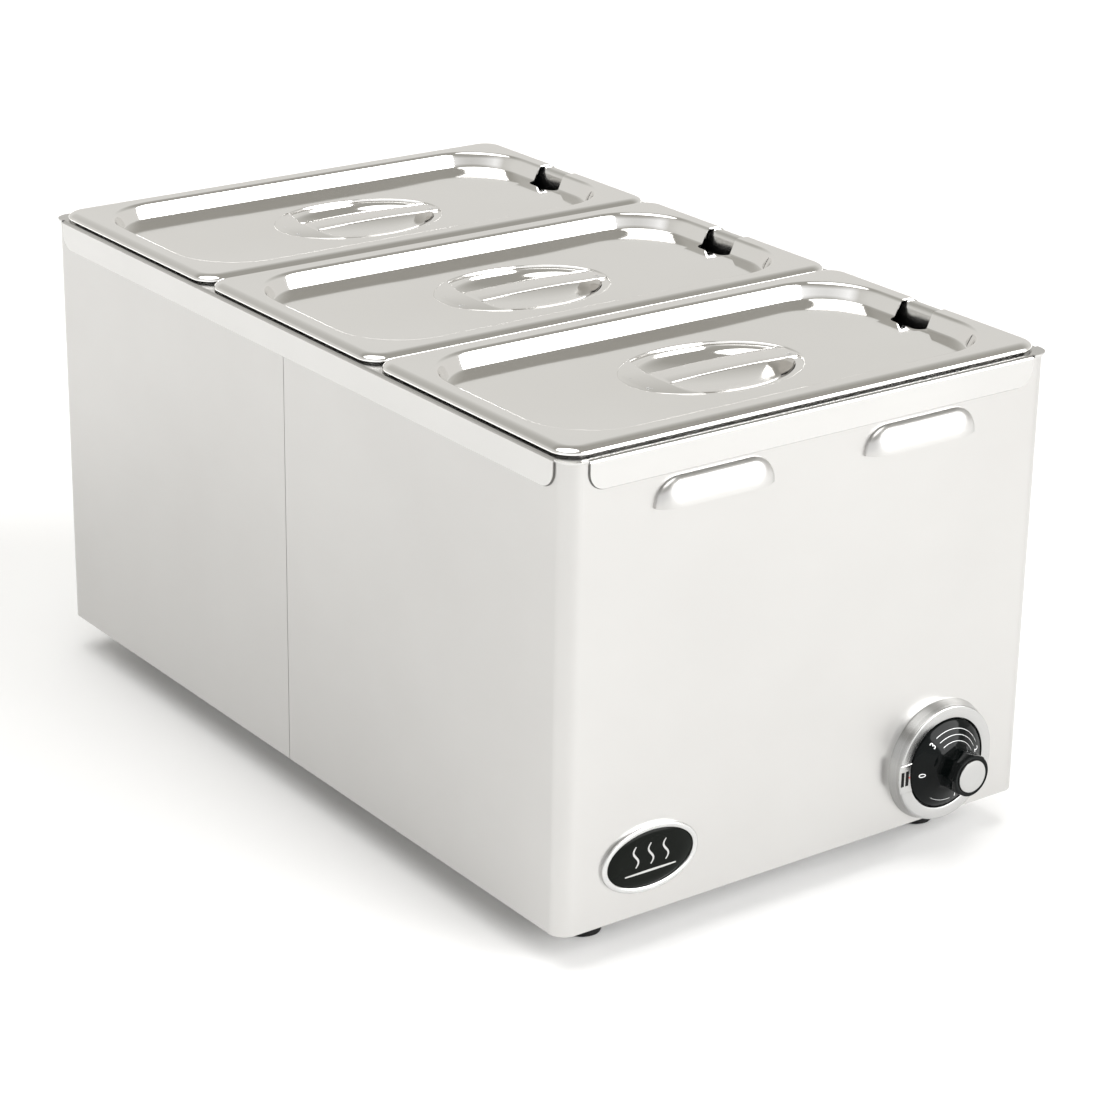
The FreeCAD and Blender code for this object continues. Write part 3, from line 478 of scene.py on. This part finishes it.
def octagon(t, radius, out):
    """Turns the grip's rings into soft-cornered octagons; the cone's rings stay round."""
    blend = min(1.0, max(0.0, (out - CONE_HIGH + 0.9) / 1.0))
    face = (math.degrees(t) % 45.0) - 22.5
    side = radius * math.cos(math.radians(22.5)) / math.cos(math.radians(face))
    flat = min(side, radius * 0.985)
    return radius * (1 - blend) + flat * blend


def build_dial():
    profile = [(10.0, 3.2), (25.9, 3.2), (DIAL_R, 3.6), (DIAL_R, 7.3), (DIAL_R - 0.2, 7.8)]
    profile += [(r, cone_out(r)) for r in (25.6, 23.0, 20.0, 17.0, 14.6)]
    profile += [(13.7, 13.6), (13.1, 14.2), (12.7, 15.4), (12.5, 18.0), (12.6, 22.0), (12.9, 26.5)]
    profile += [(12.9, 28.2), (12.6, 28.8), (12.1, 29.1), (10.3, 29.1), (9.9, 28.9), (9.8, 28.4)]
    rings = turned(profile, KNOB, 192, octagon)
    rings[-4:] = turned(profile[-4:], KNOB, 192)
    mesh = mesh_of("dial", *loft(rings, True, True), 28)
    add("dial_moulding", mesh, materials["black_dial"], "knob", ["control_knob"])
    cap = [(9.6, 28.2), (9.6, 29.6), (9.4, 29.9), (9.0, 30.0), (6.0, 30.0), (3.0, 30.0), (0.4, 30.0)]
    mesh = mesh_of("cap", *loft(turned(cap, KNOB, 128), True, True), 30)
    add("dial_cap", mesh, materials["bezel_metal"], "knob", ["knob_cap"])


def on_cone(u, v, turn, radius):
    """Maps text coordinates (u right, v outward) to a point on the cone's face."""
    r = radius + v
    t = math.radians(turn) - u / radius
    return facing_front(r * math.cos(t), r * math.sin(t), cone_out(r) + 0.06, KNOB)


def build_dial_marks():
    for text, turn in NUMBERS.items():
        curve = bpy.data.curves.new("digit_" + text, "FONT")
        curve.body, curve.size = text, 5.4
        curve.align_x, curve.align_y = "CENTER", "CENTER"
        source = bpy.data.objects.new("digit_source", curve)
        bpy.context.scene.collection.objects.link(source)
        graph = bpy.context.evaluated_depsgraph_get()
        flat = bpy.data.meshes.new_from_object(source.evaluated_get(graph), depsgraph=graph)
        bpy.data.objects.remove(source)
        for v in flat.vertices:
            v.co = Vector(on_cone(v.co.x, v.co.y, turn, 20.2)) * MM
        add("dial_number_" + text, flat, paint_white, "knob")
    arcs = [(235, 276, 1), (297, 362, 2), (384, 480, 3)]
    verts, faces = [], []
    for start, end, count in arcs:
        for k in range(count):
            radius, steps = 21.6 - 3.2 * k, 40
            for j in range(steps + 1):
                t = start + (end - start) * j / steps
                width = 0.14 + 0.20 * j / steps
                for side in (-width / 2, width / 2):
                    verts.append(on_cone(0, side, t, radius))
            base = len(verts) - 2 * (steps + 1)
            faces += [(base + 2 * j, base + 2 * j + 1, base + 2 * j + 3, base + 2 * j + 2)
                      for j in range(steps)]
    add("dial_scale", mesh_of("dial_scale", verts, faces), paint_white, "knob")


def build_bezel():
    profile = [(5.5, 1.5), (26.6, 1.5), (27.0, 1.9), (27.0, 7.2), (27.3, 7.8), (27.9, 8.0)]
    profile += [(30.0, 8.0), (33.2, 8.0)] + [(p[0], p[1]) for p in arc((33.2, 6.8), 1.2, 85, 10, 6)]
    profile += [(34.9, 5.0), (35.6, 3.0), (36.0, 1.2), (36.3, 0.4), (36.3, 0.0), (34.0, 0.0), (5.5, 0.0)]
    rings = turned(list(reversed(profile)), KNOB, 192)
    rings.append(rings[0])
    mesh = mesh_of("bezel", *loft(rings), 28)
    add("bezel_ring", mesh, materials["bezel_metal"], "case", ["control_bezel"])
    add("bezel_pad", pad_mesh(), materials["bezel_metal"], "case")
    for k, dx in enumerate((-33.0, -29.7)):
        bar = plate_mesh("bar", [(dx - 1.05, 2.6), (dx + 1.05, 2.6), (dx + 1.05, -6.2), (dx - 1.05, -6.2)],
                         8.45, 8.62)
        add(f"index_bar_{k + 1}", bar, paint_black, "case")
    dot = plate_mesh("dot", arc((-28.0, -1.5), 0.5, 360, 0, 16)[:-1], 8.45, 8.62)
    add("index_dot", dot, paint_red, "case")


def plate_mesh(name, outline, low, high):
    rings = [[facing_front(x, z, out, KNOB) for x, z in outline] for out in (low, high)]
    mesh = mesh_of(name, *loft(rings, True, True))
    work = bmesh.new()
    work.from_mesh(mesh)
    bmesh.ops.recalc_face_normals(work, faces=work.faces)
    work.to_mesh(mesh)
    work.free()
    return mesh


def pad_mesh():
    """Raised pad on the bezel's left, between the dial opening and the rim."""
    verts, rings = [], []
    for inset, out in ((0.0, 7.6), (0.15, 8.1), (0.5, 8.4), (1.1, 8.5)):
        inner, outer = 27.2 + inset * 0.3, 35.3 - inset
        low, high = -11.0 + inset, 7.0 - inset
        ring = []
        for k in range(17):
            z = low + (high - low) * k / 16
            ring.append((-math.sqrt(outer ** 2 - z ** 2), z))
        for k in range(17):
            z = high + (low - high) * k / 16
            ring.append((-math.sqrt(inner ** 2 - z ** 2), z))
        rings.append([facing_front(x, z, out, KNOB) for x, z in ring])
    mesh = mesh_of("bezel_pad", *loft(rings, False, True), 40)
    return mesh


# ---- badge ----
def build_badge():
    half, depth = (32.0, 19.5), 2.4
    stretch = (1.0, half[1] / half[0])
    rim = [(0, 0.0), (0, 1.5)] + [(-1.7 + 1.7 * math.cos(t), 1.5 + 0.9 * math.sin(t))
                                  for t in [math.radians(15 * k) for k in range(1, 12)]]
    rim += [(-3.4, 1.4), (-3.4, 0.8)]
    rings = []
    for inset, out in rim:
        wide, tall = half[0] + inset, half[1] + inset
        rings.append([facing_front(wide * math.cos(math.tau * k / 128), tall * math.sin(math.tau * k / 128),
                                   min(out, depth), BADGE) for k in range(128)])
    add("badge_border", mesh_of("badge_border", *loft(rings), 50), badge_silver, "case",
        ["badge_rim"])
    face = []
    for share, out in ((1.0, 1.0), (0.96, 1.5), (0.7, 1.75), (0.35, 1.8), (0.02, 1.8)):
        wide, tall = (half[0] - 3.3) * share, (half[1] - 3.3) * share
        face.append([facing_front(wide * math.cos(math.tau * k / 128), tall * math.sin(math.tau * k / 128),
                                  out, BADGE) for k in range(128)])
    add("badge_face", mesh_of("badge_face", *loft(face, False, True), 60), materials["black_badge"],
        "case", ["badge_plate"])
    verts, faces = [], []
    for dx in (-10.0, 0.0, 10.0):
        ribbon(verts, faces, [(dx + 1.7 * math.sin(math.tau * k / 24), -3.5 + 12.5 * k / 24)
                              for k in range(25)], 1.5)
    ribbon(verts, faces, [(-17.0 + 34.0 * k / 24, -7.2) for k in range(25)], 1.6)
    add("badge_motif", mesh_of("badge_motif", verts, faces, 60), badge_silver, "case")


def ribbon(verts, faces, path, width):
    """Raised band along a path on the badge, tapered at both ends."""
    base, last = len(verts), len(path) - 1
    for k, (x, z) in enumerate(path):
        before, after = path[max(0, k - 1)], path[min(last, k + 1)]
        run = Vector((after[0] - before[0], after[1] - before[1])).normalized()
        half = width / 2 * (0.35 + 0.65 * math.sin(math.pi * (0.12 + 0.76 * k / last)))
        for side, out in ((-1, 1.5), (-0.8, 1.98), (0.8, 1.98), (1, 1.5)):
            verts.append(facing_front(x - run.y * half * side, z + run.x * half * side, out, BADGE))
    for k in range(last):
        for j in range(3):
            low = base + 4 * k + j
            faces.append((low, low + 4, low + 5, low + 1))


# ---- feet and gland ----
def upright(profile, count=64):
    """Rings about the Z axis from (radius, z) points."""
    return [[(r * math.cos(math.tau * k / count), r * math.sin(math.tau * k / count), z)
             for k in range(count)] for r, z in profile]


def build_feet():
    profile = [(4.8, 4.5), (4.8, 0.9), (5.3, 0.2), (6.2, 0.0), (9.4, 0.0), (10.4, 0.5), (10.8, 1.5)]
    for k in range(4):
        z = 5.0 + 3.6 * k
        profile += [(10.9, z - 0.8), (10.6, z - 0.5), (10.6, z + 0.5), (10.95, z + 0.8)]
    profile += [(11.4, 20.0), (11.4, 22.2), (11.0, 22.9), (5.0, 23.0)]
    mesh = mesh_of("foot", *loft(upright(profile)), 40)
    for end in ("front", "rear"):
        for side in ("left", "right"):
            low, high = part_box(f"foot_{end}_{side}")
            at = ((low.x + high.x) / 2, (low.y + high.y) / 2, 0)
            add(f"foot_{end}_{side}_rubber", mesh, materials["rubber_foot"], "case",
                [f"foot_{end}_{side}"], at)


# ---- pans and deck ----
def pan_mesh():
    rings = [box_ring(*PAN_RIM, PAN_TOP - PAN_LIP)]
    for out, drop in arc((-PAN_LIP_R, -PAN_LIP_R), PAN_LIP_R, 0, 90, 4):
        rings.append(box_ring(PAN_RIM[0] + out, PAN_RIM[1] + out, PAN_RIM[2] + out, PAN_TOP + drop))
    for inset, drop in pressed_profile(PAN_DEPTH, PAN_BEND_R, PAN_FOOT_R, PAN_LEAN):
        rings.append(box_ring(PAN_MOUTH[0] - inset, PAN_MOUTH[1] - inset, PAN_MOUTH[2] - inset,
                              PAN_TOP + drop))
    return mesh_of("pan_sheet", *loft(rings, False, True))


def build_pans():
    sheet = baked("pan_shell", pan_mesh(),
                  ("SOLIDIFY", {"thickness": SHEET * MM, "offset": -1.0, "use_even_offset": True}))
    sheet.materials.clear()
    for name in PANS:
        low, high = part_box("pan_" + name)
        at = (0, (low.y + high.y) / 2, 0)
        add(f"pan_{name}_shell", sheet, materials["pan_steel"], "pan_" + name,
            ["pan_" + name], at)


FLANGE_LOW, FLANGE_TOP, FLANGE_R = 271.7, 286.0, 9.5
# painted shadow strips: width, how far they stand out from the case, and how far their backs sit off it
SHADOW_STRIP_WIDTH, SHADOW_STRIP_PROUD, SHADOW_STRIP_BACK = 0.55, 0.3, 0.02
CASE_HALF_X, CASE_HALF_Y = 164.0, 268.5
FLANGE_HALF_X, FLANGE_HALF_Y = 151.0, 257.0


def flange_shadow_strip(turn, reach, half):
    """Painted shadow: a thin dark strip standing for the shadow line below one of the deck's turned-down
    flanges.
    """
    low, top, radius = FLANGE_LOW, FLANGE_TOP, FLANGE_R
    width, proud, back = SHADOW_STRIP_WIDTH, SHADOW_STRIP_PROUD, SHADOW_STRIP_BACK
    outline = [(-half, top)] + arc((-half + radius, low + radius), radius, 180, 270, 8)
    outline += arc((half - radius, low + radius), radius, 270, 360, 8) + [(half, top)]
    verts, faces = [], []
    for k, (u, z) in enumerate(outline):
        before, after = outline[max(0, k - 1)], outline[min(len(outline) - 1, k + 1)]
        run = Vector((after[0] - before[0], after[1] - before[1])).normalized()
        for shift, out in ((0, back), (0, proud), (width, proud), (width, back)):
            at = (u + run.y * shift, -reach - out, z - run.x * shift)
            verts.append(tuple(Quaternion((0, 0, 1), math.radians(turn)) @ Vector(at)))
    for k in range(len(outline) - 1):
        for j in range(3):
            first = 4 * k + j
            faces.append((first, first + 4, first + 5, first + 1))
    return mesh_of("flange_shadow_strip", verts, faces)


# lays a painted shadow strip below each of the deck's four flanges
def build_flange_shadow_strips():
    ends, sides = (CASE_HALF_Y, FLANGE_HALF_X), (CASE_HALF_X, FLANGE_HALF_Y)
    for name, turn, (reach, half) in (("front", 0, ends), ("left", 270, sides),
                                      ("right", 90, sides), ("rear", 180, ends)):
        add(f"flange_shadow_strip_{name}", flange_shadow_strip(turn, reach, half), painted_shadow_grey, "case")


# ---- studio ----
FLOOR_HALF = 9000.0
FLOOR_WHITE = (0.91, 0.91, 0.91)
# The room by (sine of elevation, colour): warm grey at the sides, dimmer overhead. The screen is a
# white one on the front left; SCREEN_SIDE points at it and SCREEN_EDGE is how it fades in.
ROOM_STOPS = [(0.0, (0.74, 0.72, 0.69)), (1.0, (0.36, 0.35, 0.32)), (0.36, (0.73, 0.72, 0.69)),
              (0.50, (0.62, 0.61, 0.58)), (0.75, (0.38, 0.37, 0.34))]
SCREEN_STOPS = [(0.0, (1.1, 1.1, 1.1)), (1.0, (0.36, 0.35, 0.32)), (0.50, (1.1, 1.1, 1.1)),
                (0.62, (0.40, 0.39, 0.36))]
SCREEN_SIDE = (-0.58, -0.81, 0.0)
SCREEN_EDGE = (0.30, 0.55)
CAMERA_LENS, CAMERA_SENSOR = 104.0, 36.0
CAMERA_AT, CAMERA_AIM = (-1.0420, -1.4489, 0.8269), (0.0094, -0.0185, 0.1225)
CAMERA_ROLL = math.radians(0.94)


def build_floor():
    far = FLOOR_HALF
    mesh = mesh_of("floor", [(-far, -far, 0), (far, -far, 0), (far, far, 0), (-far, far, 0)],
                   [(0, 1, 2, 3)])
    floor = bpy.data.objects.new("floor", mesh)
    bpy.context.scene.collection.objects.link(floor)
    mesh.materials.append(new_material("floor_white", FLOOR_WHITE, 0.0, 0.8)[0])


def sky_ramp(nodes, links, height, stops):
    """Colour by the height a ray looks to: stops are (sine of elevation, colour)."""
    ramp = nodes.new("ShaderNodeValToRGB")
    elements = ramp.color_ramp.elements
    for k, (place, colour) in enumerate(stops):
        stop = elements[k] if k < 2 else elements.new(place)
        stop.position, stop.color = place, (*colour, 1)
    links.new(height, ramp.inputs["Fac"])
    return ramp.outputs["Color"]


def build_world():
    """A warm grey room, dimmer overhead, with a white screen on the camera's side."""
    world = bpy.data.worlds.new("studio")
    bpy.context.scene.world = world
    world.use_nodes = True
    nodes, links = world.node_tree.nodes, world.node_tree.links
    place = nodes.new("ShaderNodeTexCoord")
    split = nodes.new("ShaderNodeSeparateXYZ")
    links.new(place.outputs["Generated"], split.inputs["Vector"])
    room = sky_ramp(nodes, links, split.outputs["Z"], ROOM_STOPS)
    screen = sky_ramp(nodes, links, split.outputs["Z"], SCREEN_STOPS)
    side = nodes.new("ShaderNodeVectorMath")
    side.operation = "DOT_PRODUCT"
    side.inputs[1].default_value = SCREEN_SIDE
    links.new(place.outputs["Generated"], side.inputs[0])
    edge = nodes.new("ShaderNodeMapRange")
    edge.inputs["From Min"].default_value = SCREEN_EDGE[0]
    edge.inputs["From Max"].default_value = SCREEN_EDGE[1]
    links.new(side.outputs["Value"], edge.inputs["Value"])
    mix = nodes.new("ShaderNodeMix")
    mix.data_type = "RGBA"
    links.new(edge.outputs["Result"], mix.inputs["Factor"])
    links.new(room, mix.inputs["A"])
    links.new(screen, mix.inputs["B"])
    links.new(mix.outputs["Result"], nodes["Background"].inputs["Color"])


def soft_sun(name, come_from, power, spread_angle):
    data = bpy.data.lights.new(name, "SUN")
    data.energy, data.angle = power, math.radians(spread_angle)
    sun = bpy.data.objects.new(name, data)
    sun.rotation_euler = (-Vector(come_from)).to_track_quat("-Z", "Y").to_euler()
    bpy.context.scene.collection.objects.link(sun)


def build_lights():
    """A broad top light, and a lower one from the front right that whitens the case front."""
    soft_sun("top", (-0.20, 0.10, 0.97), 1.75, 55)
    soft_sun("front", (0.50, -0.80, 0.40), 3.6, 50)


def build_camera():
    data = bpy.data.cameras.new("camera")
    camera = bpy.data.objects.new("camera", data)
    bpy.context.scene.collection.objects.link(camera)
    data.lens, data.sensor_width = CAMERA_LENS, CAMERA_SENSOR
    data.clip_end = 100
    camera.location = CAMERA_AT
    camera.rotation_mode = "QUATERNION"
    view = (Vector(CAMERA_AIM) - camera.location).to_track_quat("-Z", "Y")
    camera.rotation_quaternion = view @ Quaternion((0, 0, 1), CAMERA_ROLL)
    bpy.context.scene.camera = camera


paint_cad_nodes()
build_lids()
build_pans()
build_flange_shadow_strips()
build_dial()
build_dial_marks()
build_bezel()
build_badge()
build_feet()
build_floor()
build_world()
build_lights()
build_camera()
bpy.context.scene.view_settings.view_transform = "Standard"
